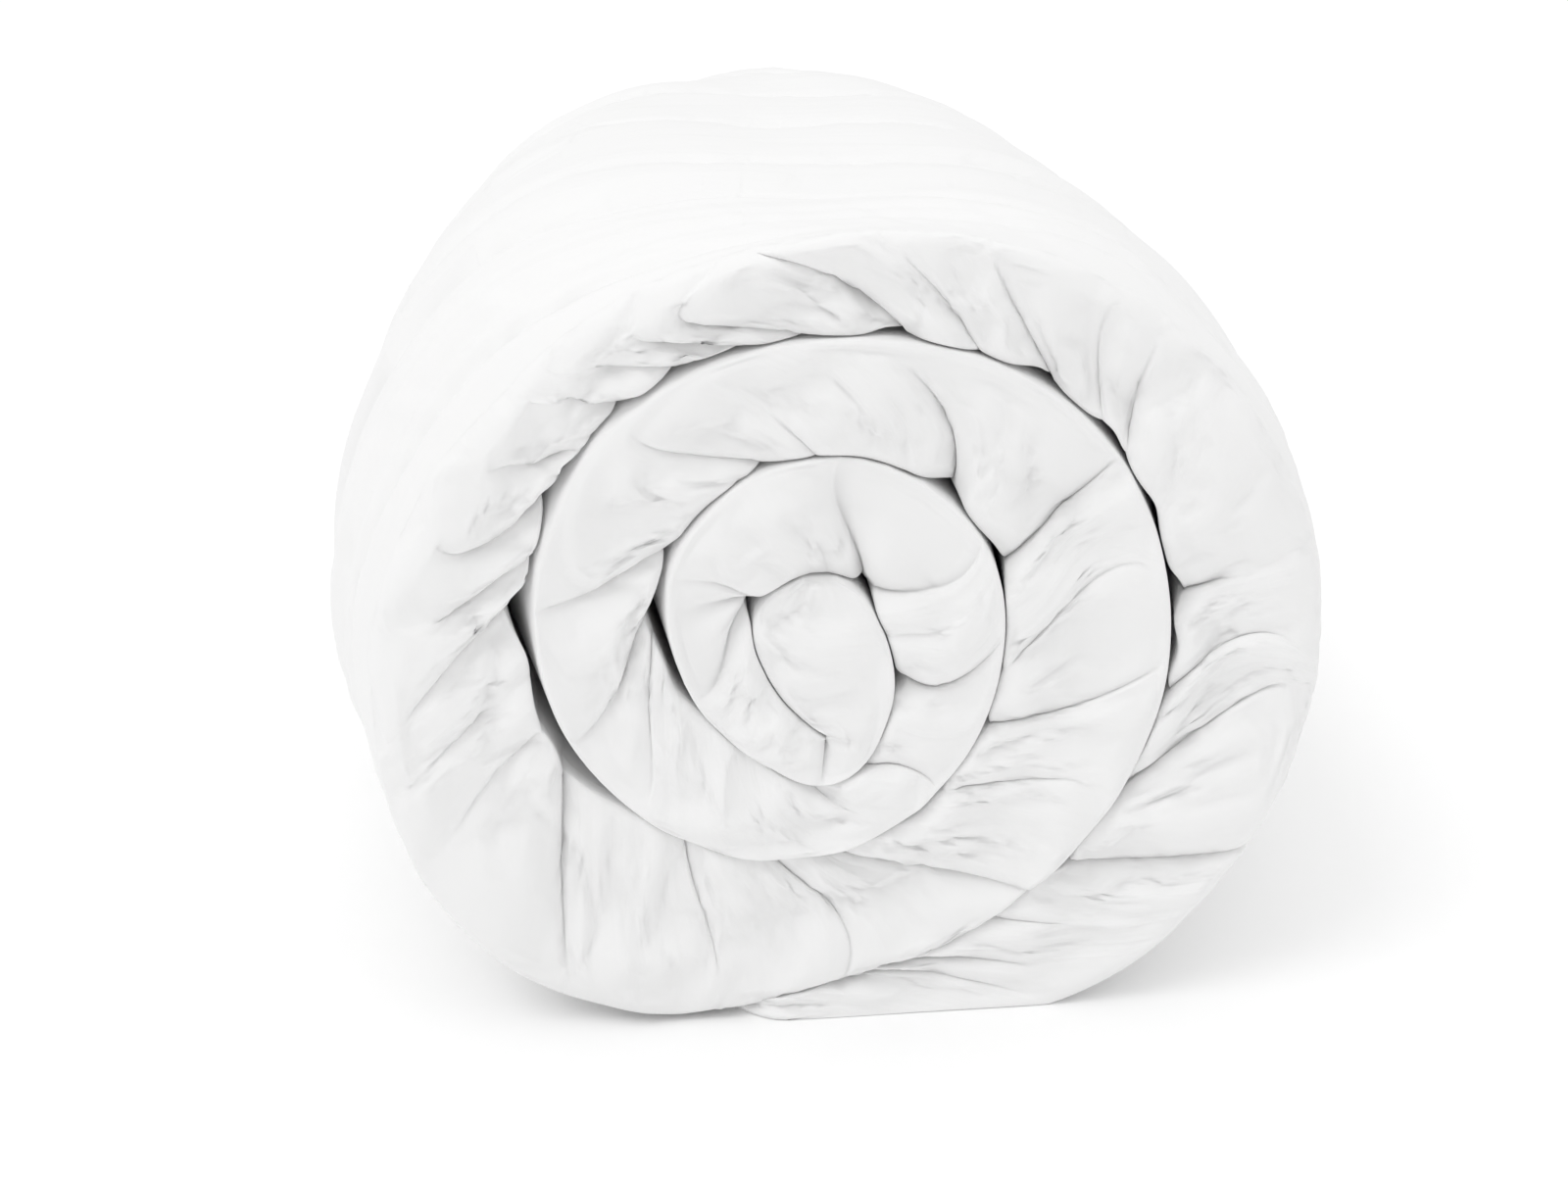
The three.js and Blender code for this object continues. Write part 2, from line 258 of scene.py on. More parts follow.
# Filling of the cloth
PRESSURE = 3.0
SLACK = 0.06
SIDE_LOOSENESS = 0.2
BENDING = 0.5
FILL_FRAMES = 14
END_SWELL = 9.0
RIM_SWELL = 8.0
SIDE_SWELL = 2.5

# The strip with the seams near the near end is taut up to the first of these distances from that
# end, and loose from the second on. How firmly it is held, and the hem at the layer's inner edge.
TAUT_STRIP = (105, 150)
TAUT_HOLD = 0.9
HEM_HOLD = 0.7

# How far from a fold and from a sewn line the cloth is held, in mm
FOLD_HOLD_REACH = 1.4
SEAM_HOLD_REACH = 3
HOLD_LEVELS = 20

# Brightness of the studio at eye level and overhead, and of the soft light from the upper left
SKY_LIGHT = (0.47, 1.22)
KEY_LIGHT = 0.45
KEY_LIGHT_FROM = (-0.6, -0.35, 1.0)
KEY_LIGHT_SPREAD = 28

# Half the floor's width, and the camera where the photo was taken from, in metres. The lens is in mm.
FLOOR_REACH = 9
CAMERA_PLACE = (-0.0515, -0.9526, 0.3909)
CAMERA_TARGET = (0.00717, -0.34, 0.13866)
CAMERA_LENS = 43.26
CAMERA_SHIFT = (-0.0517, 0.0576)

# Fine creases to a metre along the winding and over the cloth's width, on the ends and the sides
END_CREASE_SCALE = (85, 16)
SIDE_CREASE_SCALE = (7, 60)


def lerp(a, b, t):
    return a + (b - a) * t


def smoothstep(value, low, high):
    t = np.clip((value - low) / (high - low), 0, 1)
    return t * t * (3 - 2 * t)


def smooth_curve(values, row, t):
    """Smooth curve through evenly spaced values, t of the way from a row to the next."""
    a, b, c, d = (values[row + offset] for offset in (-1, 0, 1, 2))
    return b + 0.5 * t * (c - a + t * (2 * a - 5 * b + 4 * c - d + t * (3 * (b - c) + d - a)))


def winding_radius(turn):
    place = (turn - WINDING_FIRST) * 8
    row = np.clip(np.floor(place).astype(int), 1, len(WINDING_RADII) - 3)
    return smooth_curve(WINDING_RADII, row, place - row)


def swell_towards(direction):
    place = (direction % 1) * 8
    row = np.floor(place).astype(int)
    around = np.concatenate([SWELL[-1:], SWELL, SWELL[:3]])
    return smooth_curve(around, row + 1, place - row)


def waves(place, seed, lengths):
    """Uneven waves along a line, between about -1 and 1, from sines of a few lengths."""
    rng = np.random.default_rng(seed)
    total = np.zeros_like(place, dtype=float)
    for length in lengths:
        total = total + np.sin(FULL_TURN * (place / length + rng.random()))
    return total / len(lengths)


def uneven(points, seed, size, count=14):
    """Smooth random field through space, between about -1 and 1, with lumps of about a size."""
    rng = np.random.default_rng(seed)
    total = np.zeros(points.shape[:-1])
    for _ in range(count):
        direction = rng.normal(size=3)
        direction /= np.linalg.norm(direction) * size * rng.uniform(0.7, 1.6)
        total = total + np.sin(FULL_TURN * (points @ direction + rng.random()))
    return total / math.sqrt(count)


def outermost(turn):
    """How far a turn shows as the roll's outside, from 0 to 1."""
    return smoothstep(turn, *RIM_STARTS) * (1 - smoothstep(turn, *RIM_ENDS))


def outer_radius(turn):
    """Radius of the outer face, which never goes below the floor."""
    drop = -np.cos(turn * FULL_TURN)
    floor_radius = np.where(drop > 1e-6, CENTRE_Z / np.maximum(drop, 1e-6), np.inf)
    return np.minimum(winding_radius(turn), floor_radius)


def on_turn(turn, radius):
    angle = turn * FULL_TURN
    return np.stack([CENTRE_X + radius * np.sin(angle), CENTRE_Z + radius * np.cos(angle)], -1)


def inner_place(turn):
    """Point on the inner face. On the core pad it is the pad's left side."""
    down = (turn - PAD_TOP) / (PAD_FOOT - PAD_TOP)
    pad_turn = lerp(PAD_LEFT_TOP, PAD_LEFT_FOOT, np.clip(down, 0, 1))
    last_turn = np.maximum(turn - 1, PAD_LEFT_FOOT)
    below = np.where(turn < PAD_FOOT, pad_turn, last_turn)
    gap = END_GAP * np.clip((turn - PAD_FOOT) / 0.075, 0, 1)
    radius = outer_radius(below) + gap
    thickness = lerp(*TAIL_THICKNESS, (turn - TAIL_START) / (TAIL_END - TAIL_START))
    tail_radius = np.where(turn > TAIL_START, outer_radius(turn) - thickness, 0)
    return on_turn(below, np.maximum(radius, tail_radius))


def layer_place(turn, across):
    """Point in the roll's end plane, so far across the layer at a turn."""
    outer = on_turn(turn, outer_radius(turn))
    return lerp(inner_place(turn), outer, across[..., None])


def fullness(along):
    from_end = np.minimum(along, ROLL_LENGTH - along)
    return np.interp(from_end, FULLNESS_FROM_END, FULLNESS)


def filled_out(place, along):
    """Fills the roll out between its drawn-in ends. Below its axis it only widens."""
    side = place[..., 0] - CENTRE_X
    rise = place[..., 1] - CENTRE_Z
    swell = swell_towards(np.arctan2(side, rise) / FULL_TURN) * fullness(along)
    x = CENTRE_X + side * (1 + swell)
    z = CENTRE_Z + rise * np.where(rise > 0, 1 + swell, 1)
    return np.stack([x, along - ROLL_LENGTH / 2, z], -1)


def arc_length(turn):
    """Length along the middle of the layer, from the start of the duvet to a turn."""
    steps = np.linspace(PAD_TOP, TAIL_END, 4001)
    middle = layer_place(steps, np.full(steps.shape, 0.6))
    lengths = np.linalg.norm(np.diff(middle, axis=0), axis=1)
    return np.interp(turn, steps, np.concatenate([[0], np.cumsum(lengths)]))


def section_turns():
    """Turns of the sections: one on each fold, close together there and further apart between."""
    marks = [PAD_TOP, *(fold.turn for fold in FOLDS), TAIL_END]
    turns = []
    fold_arcs = arc_length(np.array([fold.turn for fold in FOLDS]))
    for low, high in zip(marks[:-1], marks[1:]):
        fine = np.linspace(low, high, 400)
        arcs = arc_length(fine)
        nearest = np.abs(arcs[:, None] - fold_arcs).min(1)
        step = np.clip(FINE_STEP + STEP_GROWTH * nearest, FINE_STEP, COARSE_STEP)
        count = np.concatenate([[0], np.cumsum(np.diff(arcs) / ((step[1:] + step[:-1]) / 2))])
        sections = max(1, round(count[-1]))
        places = np.interp(np.arange(sections) / sections * count[-1], count, fine)
        turns.extend(places)
    return np.array([*turns, TAIL_END])


def sheared(turn, across, along):
    """Moves a section's points onto the lines of the folds, which shift towards the far end."""
    turns = [fold.turn for fold in FOLDS]
    lean = np.interp(turn, turns, [fold.lean for fold in FOLDS])
    bend = np.interp(turn, turns, [fold.bend for fold in FOLDS])
    slant = lean * across + bend * 4 * across * (1 - across)
    slant = slant * smoothstep(turn, *LEAN_STARTS) * (1 - smoothstep(turn, *LEAN_ENDS))
    shift = FAR_FOLD_SHIFT * smoothstep(along, SHIFT_FROM_END, ROLL_LENGTH - SHIFT_FROM_END)
    shift = shift * smoothstep(turn, *SHIFT_STARTS) * (1 - smoothstep(turn, *SHIFT_ENDS))
    return turn + slant + shift


def fold_side(away, side, soft_reach):
    sharp = side.sharp_share * np.exp(-np.abs(away) / side.sharp_reach)
    return sharp + side.soft_share * np.exp(-((away / soft_reach) ** 2))


def fold_relief(turn, across, seed):
    """Depth of the folds into the roll's end, and how far their laps lie over them, in mm."""
    arcs = arc_length(turn)
    rng = np.random.default_rng(seed)
    depth = np.zeros(across.shape)
    lap_shift = np.zeros(across.shape)
    for fold in FOLDS:
        strength = 1 if seed == 0 else rng.uniform(0.55, 1.15)
        away = (arcs - arc_length(fold.turn)) * fold.lap
        span = fold.end - fold.start
        rise = smoothstep(across, fold.start - 0.1, fold.start + 0.04)
        fall = np.clip((fold.end - across) / span, 0, 1) ** 0.6
        envelope = strength * rise * fall
        least, more = HOLLOW_REACH
        hollow = least + more * (1 - across) * min(1, fold.depth / HOLLOW_FULL_DEPTH)
        shape = np.where(
            away > 0,
            fold_side(away, OVER_LAP, OVER_LAP_REACH),
            fold_side(away, UNDER_LAP, hollow),
        )
        depth = np.maximum(depth, envelope * fold.depth * shape)
        lip = np.where(away > 0, np.exp(-(((away - LAP_PLACE) / LAP_WIDTH) ** 2)), 0)
        lap_shift -= fold.lap * envelope * LAP_SHARE * fold.depth * lip
    return depth, lap_shift


def opening(turn, from_end):
    """How far a layer's inner face stands off the turn before it, in its folds and pockets."""
    arcs = arc_length(turn)
    gap = np.zeros(arcs.shape)
    for fold in FOLDS:
        away = np.abs(arcs - arc_length(fold.turn))
        gap += NOTCH_SHARE * fold.notch * np.exp(-away / NOTCH_REACH)
    for pocket in POCKETS:
        away = (arcs - arc_length(pocket.turn)) / pocket.reach
        gap += pocket.opening * np.exp(-(away ** 2))
    return gap * np.exp(-from_end / POCKET_DEPTH)


def dents(arcs, across):
    depth = np.zeros(across.shape)
    for dent in DENTS:
        lean = np.interp(dent.turn, [fold.turn for fold in FOLDS], [fold.lean for fold in FOLDS])
        away = arcs - arc_length(dent.turn - lean * dent.across)
        side = DENT_THICKNESS * (across - dent.across)
        depth += dent.depth * np.exp(-(away ** 2 + side ** 2) / dent.width ** 2)
    return depth


def small_creases(arcs, across, seed):
    """Depth of the short soft creases that gather at the inner edges, each a random one."""
    rng = np.random.default_rng(seed)
    depth = np.zeros(across.shape)
    rim, end = arc_length(np.array([RIM_CREASES_FROM, TAIL_END]))
    for number in range(SMALL_CREASES + RIM_CREASES):
        place = rng.uniform(0 if number < SMALL_CREASES else rim, end)
        start = rng.uniform(*CREASE_START)
        span = rng.uniform(*CREASE_SPAN)
        lean = rng.uniform(*CREASE_LEAN)
        width = rng.uniform(*CREASE_WIDTH)
        deep = rng.uniform(*CREASE_DEPTH)
        near = np.flatnonzero(np.abs(arcs[:, 0] - place) < CREASE_REACH)
        if len(near) == 0:
            continue
        share = (across[near] - start) / span
        away = arcs[near] - place - lean * share
        shows = smoothstep(share, -0.15, 0.2) * (1 - smoothstep(share, 0.3, 1))
        crease = np.exp(-np.abs(away) / np.where(away > 0, width, 2 * width))
        depth[near] += deep * shows * crease
    return depth


def end_face(turn, far):
    """Points of one of the roll's ends: a row for each section, from its inner face outwards."""
    across = np.tile(ACROSS_STOPS, (len(turn), 1))
    section = np.repeat(turn[:, None], across.shape[1], 1)
    arcs = arc_length(section)
    bent = sheared(section, across, np.full(across.shape, ROLL_LENGTH if far else 0.0))
    depth, lap_shift = fold_relief(section, across, 1 if far else 0)
    softness = outermost(bent)
    reach = lerp(CRISP_ROUND.reach, RIM_ROUND.reach, softness)
    outer_depth = lerp(CRISP_ROUND.depth, RIM_ROUND.depth, softness)
    base = INNER_ROUND.depth * (1 - rounding(across / INNER_ROUND.reach))
    base += outer_depth * (1 - rounding((1 - across) / reach))
    on_face = 1 - base / ROUNDING_FADE
    flat = np.stack([arcs, LAYER_THICKNESS * across, np.zeros_like(arcs)], -1)
    relief = depth + small_creases(arcs, across, 70 + far) + 1.3 * uneven(flat, 11 + far, 42)
    if not far:
        relief += dents(arcs, across)
    along = base + on_face * relief
    along += TAIL_CORNER_INSET * smoothstep(bent, TAIL_CORNER_START, TAIL_END)
    bent += lap_shift / (FULL_TURN * np.maximum(outer_radius(bent), 20))
    thickness = np.linalg.norm(layer_place(bent, np.ones_like(bent)) - inner_place(bent), axis=-1)
    opened = opening(section, 0) * (1 - across) ** 2.5
    drawn = across + np.minimum(opened / np.maximum(thickness, 1), MOST_OPENING)
    place_along = ROLL_LENGTH - along if far else along
    return filled_out(layer_place(bent, np.minimum(drawn, 1)), place_along)


def rounding(share):
    """Quarter of an ellipse: 0 at the edge and 1 from its full reach on."""
    t = 1 - np.clip(share, 0, 1)
    return np.sqrt(1 - t * t)


def body_side(turn, near_edge, far_edge, stops, across):
    """Points of the outer or inner face, a row for each section, from the near end to the far."""
    low = near_edge[:, None, 1] + ROLL_LENGTH / 2
    high = far_edge[:, None, 1] + ROLL_LENGTH / 2
    along = lerp(low, high, stops[None, :])
    section = np.repeat(turn[:, None], len(stops), 1)
    bent = sheared(section, np.full_like(along, across), along)
    if across == 0:
        gap = opening(section, np.minimum(along, ROLL_LENGTH - along))
        place = layer_place(bent, np.minimum(gap / POCKET_THICKNESS, MOST_OPENING))
    else:
        place = layer_place(bent, np.full_like(along, across))
        place = place - outward(place) * channel_relief(bent, along)[..., None]
    return filled_out(place, along)


def outward(place):
    offset = place - np.array([CENTRE_X, CENTRE_Z])
    return offset / np.maximum(np.linalg.norm(offset, axis=-1, keepdims=True), 1)


def channel_relief(turn, along):
    """Depth of the sewn channels and the puckers beside them, in the outermost layer."""
    arcs = arc_length(turn)
    relief = np.zeros(along.shape)
    for number, line in enumerate(CHANNEL_LINES):
        place = channel_place(arcs, number, line)
        away = np.abs(along - place)
        pucker = waves(arcs + 0.35 * (along - place), 40 + number, (13, 19, 31))
        relief += 1.2 * np.exp(-away / 2.2)
        relief += np.exp(-((away / 18) ** 2))
        relief += 0.7 * pucker * np.exp(-((away / 26) ** 2)) * (1 - 0.6 * np.exp(-away / 4))
    for line in SHORT_LINES:
        place = lerp(line.from_start, line.to_end, (turn - line.start) / (line.end - line.start))
        away = np.abs(along - place - 1.5 * waves(arcs, 60 + round(line.to_end), (80, 130)))
        shows = smoothstep(turn, line.start, line.start + 0.08)
        shows = shows * (1 - smoothstep(turn, line.end - 0.08, line.end))
        relief += line.depth * shows * np.exp(-away / 3)
    relief += 0.9 * waves(along + 0.25 * arcs, 50, (23, 37, 61)) * waves(arcs, 51, (160, 240))
    flat = np.stack([arcs, along, np.zeros_like(arcs)], -1)
    edge = np.minimum(along, ROLL_LENGTH - along)
    relief += 1.2 * uneven(flat, 52, 95) * smoothstep(edge, 13, 45)
    return outermost(turn) * relief * smoothstep(edge, 13, 21)


def channel_place(arcs, number, line):
    """A sewn line wanders a little on its way round the roll."""
    return line + (0.8 if number == 0 else 2.5) * waves(arcs, 30 + number, (170, 290, 90))


def along_of(stops):
    return SIDE_MARGIN + stops * (ROLL_LENGTH - 2 * SIDE_MARGIN)


def rim_stops():
    """Places along the roll, from 0 to 1, with more of them at the sewn channels."""
    far_stops = {line + offset for line in CHANNEL_LINES[1:] for offset in LINE_STOPS}
    stops = sorted({*NEAR_STOPS, *(stop for stop in far_stops if stop > NEAR_STOPS_END)})
    from_near, from_far = STOPS_FROM_END
    kept = [stop for stop in stops if from_near < stop < ROLL_LENGTH - from_far]
    spaced = [kept[0]]
    for stop in kept[1:]:
        if stop - spaced[-1] > LEAST_SPACING:
            spaced.append(stop)
    return (np.array(spaced) - SIDE_MARGIN) / (ROLL_LENGTH - 2 * SIDE_MARGIN)


def even_stops(count):
    return (np.arange(count) + 1) / (count + 1)


def section_loops(turn, outer_stops):
    """Closed sections: the near end outwards, the outer face, the far end inwards, the inner."""
    near = end_face(turn, False)
    far = end_face(turn, True)
    outer = body_side(turn, near[:, -1], far[:, -1], outer_stops, 1)
    inner = body_side(turn, near[:, 0], far[:, 0], INNER_DEPTHS / ROLL_LENGTH, 0)
    return np.concatenate([near, outer, far[:, ::-1], inner[:, ::-1]], 1)


def grid_faces(first, rows, size):
    """Quads between neighbouring sections, each with the same number of points."""
    row = np.arange(rows - 1)[:, None] * size + first
    column = np.arange(size)[None, :]
    following = (column + 1) % size
    quads = np.stack([row + column, row + size + column, row + size + following, row + following], -1)
    return quads.reshape(-1, 4).tolist()


def bridge_faces(first, size, second, second_size):
    """Faces between two sections of which the second has more points on its outer face."""
    ends = len(ACROSS_STOPS)
    faces = []
    for j in range(ends - 1):
        faces.append([first + j, second + j, second + j + 1, first + j + 1])
    tail, second_tail = size - ends - len(INNER_DEPTHS), second_size - ends - len(INNER_DEPTHS)
    for j in range(ends + len(INNER_DEPTHS)):
        a, b = first + tail + j, second + second_tail + j
        a_next = first + (tail + j + 1) % size
        b_next = second + (second_tail + j + 1) % second_size
        faces.append([a, b, b_next, a_next])
    i, j = ends - 1, ends - 1
    while i < tail or j < second_tail:
        share = (i - ends + 1) / (tail - ends + 1)
        second_share = (j - ends + 1) / (second_tail - ends + 1)
        if j < second_tail and (second_share <= share or i == tail):
            faces.append([first + i, second + j, second + j + 1])
            j += 1
        else:
            faces.append([first + i, second + j, first + i + 1])
            i += 1
    return faces


def section_field(turns, outer_stops, on_face, on_outer, on_inner):
    """A value for each point of the sections, from one array for each of their four stretches."""
    face = np.broadcast_to(on_face, (len(turns), len(ACROSS_STOPS)))
    outer = np.broadcast_to(on_outer, (len(turns), len(outer_stops)))
    inner = np.broadcast_to(on_inner, (len(turns), len(INNER_DEPTHS)))
    return np.concatenate([face, outer, face[:, ::-1], inner], 1)


def cloth_places(turns, outer_stops):
    """Each point's place on the flat cloth, in metres: along the winding and over its width. The
    third number is how far the point is on an end, from 0 to 1."""
    arcs = arc_length(turns)[:, None]
    near = LAYER_THICKNESS * (ACROSS_STOPS[None, :] - 1)
    along = along_of(outer_stops)[None, :]
    size = 2 * len(ACROSS_STOPS) + len(outer_stops) + len(INNER_DEPTHS)
    face = np.broadcast_to(near, (len(turns), len(ACROSS_STOPS)))
    outer = np.broadcast_to(along, (len(turns), len(outer_stops)))
    inner = np.broadcast_to(INNER_DEPTHS[None, ::-1], (len(turns), len(INNER_DEPTHS)))
    width = np.concatenate([face, outer, ROLL_LENGTH - face[:, ::-1], inner], 1)
    at_end = section_field(turns, outer_stops, 1 - 0.5 * smoothstep(ACROSS_STOPS, 0.8, 1), 0, 0)
    return np.stack([np.repeat(arcs, size, 1) * MM, width * MM, at_end], -1).reshape(-1, 3)


def held(turns, outer_stops):
    """How firmly each point of the sections is held while the cloth is filled, from 0 to 1."""
    arcs = arc_length(turns)
    across = ACROSS_STOPS[None, :]
    soft = outermost(turns)[:, None]
    face = smoothstep(across, 0.95, 1.0) * (1 - soft)
    face += HEM_HOLD * (1 - smoothstep(across, 0.0, 0.05))
    for fold in FOLDS:
        away = (arcs - arc_length(fold.turn))[:, None]
        shows = smoothstep(across, fold.start - 0.1, fold.start)
        shows = shows * (1 - smoothstep(across, fold.end - 0.25, fold.end))
        face = np.maximum(face, np.exp(-((away / FOLD_HOLD_REACH) ** 2)) * shows)
    along = along_of(outer_stops)
    sewn = np.zeros((len(turns), len(outer_stops)))
    for number, line in enumerate(CHANNEL_LINES):
        away = along[None, :] - channel_place(arcs, number, line)[:, None]
        sewn = np.maximum(sewn, np.exp(-((away / SEAM_HOLD_REACH) ** 2)))
    sewn = np.maximum(sewn, TAUT_HOLD * (1 - smoothstep(along, *TAUT_STRIP))[None, :])
    side = np.maximum(1 - soft, sewn * soft)
    return section_field(turns, outer_stops, face, side, 1)


def slack(turns, outer_stops):
    """How loosely the cloth is cut: 1 in the middle of a puff, and 0 along its folds and hems."""
    arcs = arc_length(turns)
    across = ACROSS_STOPS[None, :]
    soft = outermost(turns)[:, None]
    nearest = np.min([np.abs(arcs - arc_length(fold.turn)) for fold in FOLDS], 0)[:, None]
    puff = 0.25 + 0.75 * smoothstep(nearest, 2, 9)
    face = puff * (1 - (1 - 0.4 * soft) * smoothstep(across, 0.45, 0.95))
    face = face * smoothstep(across, 0, 0.2) * (1 - 0.7 * smoothstep(turns, 3.36, 3.44))[:, None]
    side = SIDE_LOOSENESS * soft * smoothstep(along_of(outer_stops), *TAUT_STRIP)[None, :]
    return section_field(turns, outer_stops, face, side, 0)


def most_swell(turns, outer_stops):
    """How far each point may swell."""
    soft = outermost(turns)[:, None]
    flat = (1 - soft) * smoothstep(ACROSS_STOPS[None, :], 0.72, 1)
    face = lerp(END_SWELL, RIM_SWELL, soft) * (1 - 0.8 * flat)
    return section_field(turns, outer_stops, face, SIDE_SWELL, 1)


def weigh(duvet, name, values):
    """Puts values from 0 to 1 into a vertex group, in even steps."""
    group = duvet.vertex_groups.new(name=name)
    levels = np.round(np.clip(values, 0, 1) * HOLD_LEVELS).astype(int)
    for level in range(1, HOLD_LEVELS + 1):
        group.add(np.flatnonzero(levels == level).tolist(), level / HOLD_LEVELS, "REPLACE")


def filled_cloth(duvet, hold, loose, limit):
    """Fills the cloth: a pressure inside it swells what its seams, folds and turns don't hold."""
    weigh(duvet, "held", hold)
    weigh(duvet, "firm", 1 - loose)
    cloth = duvet.modifiers.new("filling", "CLOTH")
    settings = cloth.settings
    settings.quality = 5
    settings.mass = 0.1
    settings.tension_stiffness = 20
    settings.compression_stiffness = 20
    settings.shear_stiffness = 5
    settings.bending_stiffness = BENDING
    settings.use_pressure = True
    settings.uniform_pressure_force = PRESSURE
    settings.effector_weights.gravity = 0
    settings.vertex_group_mass = "held"
    settings.vertex_group_shrink = "firm"
    settings.shrink_min = -SLACK
    settings.shrink_max = 0
    cloth.collision_settings.use_collision = False
    scene = bpy.context.scene
    cloth.point_cache.frame_start = 1
    cloth.point_cache.frame_end = FILL_FRAMES
    for number in range(1, FILL_FRAMES + 1):
        scene.frame_set(number)
    shown = duvet.evaluated_get(bpy.context.evaluated_depsgraph_get())
    flat = np.zeros(len(duvet.data.vertices) * 3)
    swollen = np.zeros_like(flat)
    duvet.data.vertices.foreach_get("co", flat)
    shown.data.vertices.foreach_get("co", swollen)
    duvet.modifiers.remove(cloth)
    scene.frame_set(1)
    moved = (swollen - flat).reshape(-1, 3)
    length = np.linalg.norm(moved, axis=1)
    moved *= (limit * MM * np.tanh(length / (limit * MM)) / np.maximum(length, 1e-9))[:, None]
    filled = flat.reshape(-1, 3) + moved
    filled[:, 2] = np.maximum(filled[:, 2], 0)
    duvet.data.vertices.foreach_set("co", filled.ravel())
    duvet.data.update()


def cloth_mesh():
    turns = section_turns()
    hidden = turns[turns < RIM_STARTS[0]]
    shown = turns[turns >= RIM_STARTS[0]]
    hidden_stops, shown_stops = even_stops(HIDDEN_OUTER_POINTS), rim_stops()
    first = section_loops(hidden, hidden_stops)
    second = section_loops(shown, shown_stops)
    rows, size = first.shape[:2]
    shown_rows, shown_size = second.shape[:2]
    start = rows * size
    points = np.concatenate([first.reshape(-1, 3), second.reshape(-1, 3)])
    faces = grid_faces(0, rows, size) + grid_faces(start, shown_rows, shown_size)
    faces += bridge_faces(start - size, size, start, shown_size)
    faces.append(list(range(size)))
    last = start + (shown_rows - 1) * shown_size
    faces.append(list(range(last, last + shown_size))[::-1])
    mesh = bpy.data.meshes.new("duvet_cloth")
    mesh.from_pydata((points * MM).tolist(), [], faces)
    mesh.validate()
    mesh.update()
    mesh.shade_smooth()
    fields = [
        np.concatenate([field(hidden, hidden_stops).ravel(), field(shown, shown_stops).ravel()])
        for field in (held, slack, most_swell)
    ]
    places = [cloth_places(hidden, hidden_stops), cloth_places(shown, shown_stops)]
    kept = mesh.attributes.new("cloth_place", "FLOAT_VECTOR", "POINT")
    kept.data.foreach_set("vector", np.concatenate(places).ravel())
    return mesh, fields


def stretched_creases(nodes, links, place, scale):
    """Fine creases as a noise that is drawn out along them."""
    mapping = nodes.new("ShaderNodeMapping")
    mapping.inputs["Scale"].default_value = (*scale, 0)
    links.new(place.outputs["Vector"], mapping.inputs["Vector"])
    noise = nodes.new("ShaderNodeTexNoise")
    noise.inputs["Scale"].default_value = 1
    noise.inputs["Detail"].default_value = 3
    noise.inputs["Roughness"].default_value = 0.45
    noise.inputs["Distortion"].default_value = 0.6
    links.new(mapping.outputs["Vector"], noise.inputs["Vector"])
    return noise


def cotton():
    """Fine white cotton: fine creases as a bump, soft sheen and a little unevenness in its white."""
    material = bpy.data.materials.new("white_cotton")
    material.use_nodes = True
    nodes, links = material.node_tree.nodes, material.node_tree.links
    shader = nodes["Principled BSDF"]
    shader.inputs["Roughness"].default_value = 0.88
    shader.inputs["Specular IOR Level"].default_value = 0.25
    shader.inputs["Sheen Weight"].default_value = 0.25
    shader.inputs["Sheen Roughness"].default_value = 0.5
    place = nodes.new("ShaderNodeTexCoord")
    cloud = nodes.new("ShaderNodeTexNoise")
    cloud.inputs["Scale"].default_value = 22
    cloud.inputs["Detail"].default_value = 4
    links.new(place.outputs["Object"], cloud.inputs["Vector"])
    shade = nodes.new("ShaderNodeMix")
    shade.data_type = "RGBA"
    shade.inputs["A"].default_value = (0.883, 0.882, 0.88, 1)
    shade.inputs["B"].default_value = (0.91, 0.909, 0.908, 1)
    links.new(cloud.outputs["Fac"], shade.inputs["Factor"])
    links.new(shade.outputs["Result"], shader.inputs["Base Color"])
    cloth_place = nodes.new("ShaderNodeAttribute")
    cloth_place.attribute_name = "cloth_place"
    split = nodes.new("ShaderNodeSeparateXYZ")
    links.new(cloth_place.outputs["Vector"], split.inputs["Vector"])
    end_creases = stretched_creases(nodes, links, cloth_place, END_CREASE_SCALE)
    side_creases = stretched_creases(nodes, links, cloth_place, SIDE_CREASE_SCALE)
    crumple = nodes.new("ShaderNodeMix")
    crumple.data_type = "FLOAT"
    links.new(split.outputs["Z"], crumple.inputs["Factor"])
    links.new(side_creases.outputs["Fac"], crumple.inputs["A"])
    links.new(end_creases.outputs["Fac"], crumple.inputs["B"])
    bump = nodes.new("ShaderNodeBump")
    bump.inputs["Strength"].default_value = 0.35
    bump.inputs["Distance"].default_value = 0.003
    links.new(crumple.outputs["Result"], bump.inputs["Height"])
    links.new(bump.outputs["Normal"], shader.inputs["Normal"])
    return material


def floor():
    mesh = bpy.data.meshes.new("floor")
    corners = [(-FLOOR_REACH, -FLOOR_REACH, 0), (FLOOR_REACH, -FLOOR_REACH, 0)]
    corners += [(FLOOR_REACH, FLOOR_REACH, 0), (-FLOOR_REACH, FLOOR_REACH, 0)]
    mesh.from_pydata(corners, [], [(0, 1, 2, 3)])
    material = bpy.data.materials.new("floor")
    material.use_nodes = True
    shader = material.node_tree.nodes["Principled BSDF"]
    shader.inputs["Base Color"].default_value = (0.99, 0.99, 0.99, 1)
    shader.inputs["Roughness"].default_value = 0.9
    mesh.materials.append(material)
    plane = bpy.data.objects.new("floor", mesh)
    bpy.context.scene.collection.objects.link(plane)


def look_at(item, target):
    item.rotation_euler = (Vector(target) - item.location).to_track_quat("-Z", "Y").to_euler()


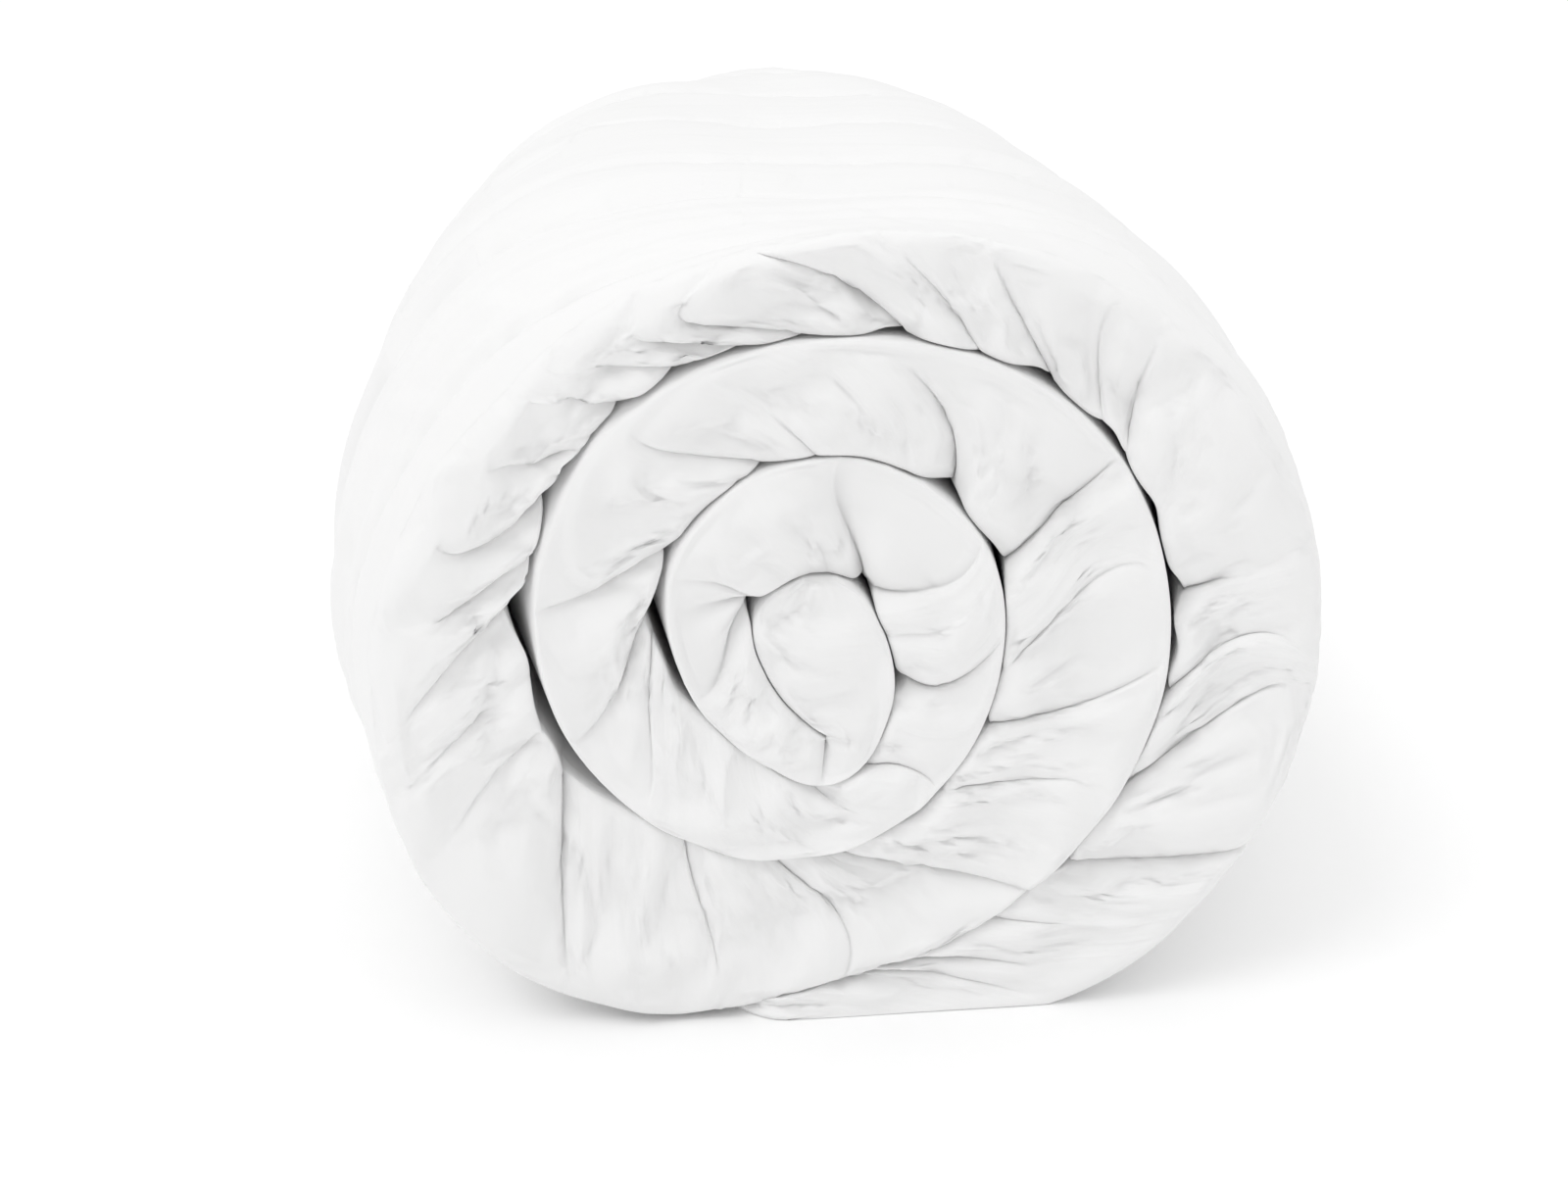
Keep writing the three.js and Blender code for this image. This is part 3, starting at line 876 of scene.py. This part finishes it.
def soft_light(name, place, strength, spread):
    light = bpy.data.lights.new(name, "SUN")
    light.angle = math.radians(spread)
    light.energy = strength
    item = bpy.data.objects.new(name, light)
    item.location = place
    look_at(item, (0, 0, 0))
    bpy.context.scene.collection.objects.link(item)


def studio():
    world = bpy.data.worlds.new("studio")
    world.use_nodes = True
    nodes, links = world.node_tree.nodes, world.node_tree.links
    place = nodes.new("ShaderNodeTexCoord")
    split = nodes.new("ShaderNodeSeparateXYZ")
    links.new(place.outputs["Generated"], split.inputs["Vector"])
    height = nodes.new("ShaderNodeMapRange")
    height.inputs["From Min"].default_value = 0
    height.inputs["From Max"].default_value = 1
    height.inputs["To Min"].default_value = SKY_LIGHT[0]
    height.inputs["To Max"].default_value = SKY_LIGHT[1]
    links.new(split.outputs["Z"], height.inputs["Value"])
    background = nodes["Background"]
    background.inputs["Color"].default_value = (1, 1, 1, 1)
    links.new(height.outputs["Result"], background.inputs["Strength"])
    bpy.context.scene.world = world
    soft_light("key", KEY_LIGHT_FROM, KEY_LIGHT, KEY_LIGHT_SPREAD)
    bpy.context.scene.view_settings.view_transform = "Standard"


def camera():
    lens = bpy.data.cameras.new("camera")
    lens.sensor_width = 36
    lens.lens = CAMERA_LENS
    lens.shift_x, lens.shift_y = CAMERA_SHIFT
    item = bpy.data.objects.new("camera", lens)
    item.location = CAMERA_PLACE
    look_at(item, CAMERA_TARGET)
    bpy.context.scene.collection.objects.link(item)
    bpy.context.scene.camera = item


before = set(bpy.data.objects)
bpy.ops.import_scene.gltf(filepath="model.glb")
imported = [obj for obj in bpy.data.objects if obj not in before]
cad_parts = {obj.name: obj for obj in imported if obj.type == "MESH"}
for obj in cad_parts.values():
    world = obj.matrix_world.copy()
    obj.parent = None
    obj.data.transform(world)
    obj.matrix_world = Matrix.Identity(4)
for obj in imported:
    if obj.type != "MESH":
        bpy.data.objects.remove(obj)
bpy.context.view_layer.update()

mesh, fields = cloth_mesh()
duvet = bpy.data.objects.new("duvet_cloth", mesh)
bpy.context.scene.collection.objects.link(duvet)
filled_cloth(duvet, *fields)
duvet.data.materials.append(cotton())
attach(duvet, "root")
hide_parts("duvet")

floor()
studio()
camera()
